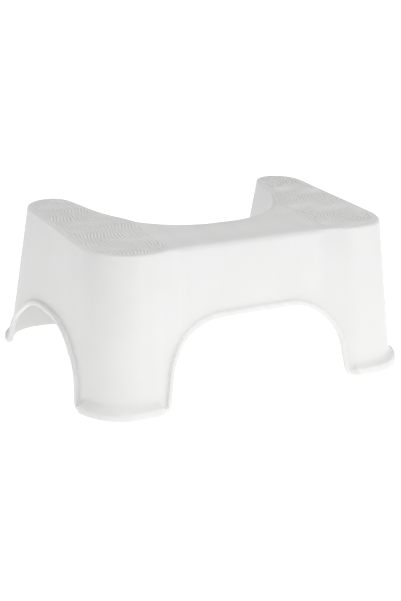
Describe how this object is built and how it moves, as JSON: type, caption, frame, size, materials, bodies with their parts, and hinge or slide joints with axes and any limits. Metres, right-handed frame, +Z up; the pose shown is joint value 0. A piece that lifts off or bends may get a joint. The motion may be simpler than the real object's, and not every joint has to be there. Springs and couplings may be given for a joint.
{
  "type": "toilet footstool",
  "caption": "White moulded toilet footstool with a textured foot platform each side of a curved rear recess, arched walls and flared feet with soft grips underneath.",
  "frame": {"origin": "on the floor, under the middle of the stool's box", "axes": "+X across the stool, +Y towards the toilet, +Z up"},
  "size_m": [0.4998, 0.343, 0.2012],
  "materials": {
    "stool_white": "satin",
    "grip_rubber": "matte"
  },
  "bodies": {
    "root": {"stool_body": "stool_white", "grip_left_front": "grip_rubber", "grip_left_front_side": "grip_rubber", "grip_left_rear_side": "grip_rubber", "grip_left_rear_mouth": "grip_rubber", "grip_right_front": "grip_rubber", "grip_right_front_side": "grip_rubber", "grip_right_rear_side": "grip_rubber", "grip_right_rear_mouth": "grip_rubber"}
  },
  "joints": []
}
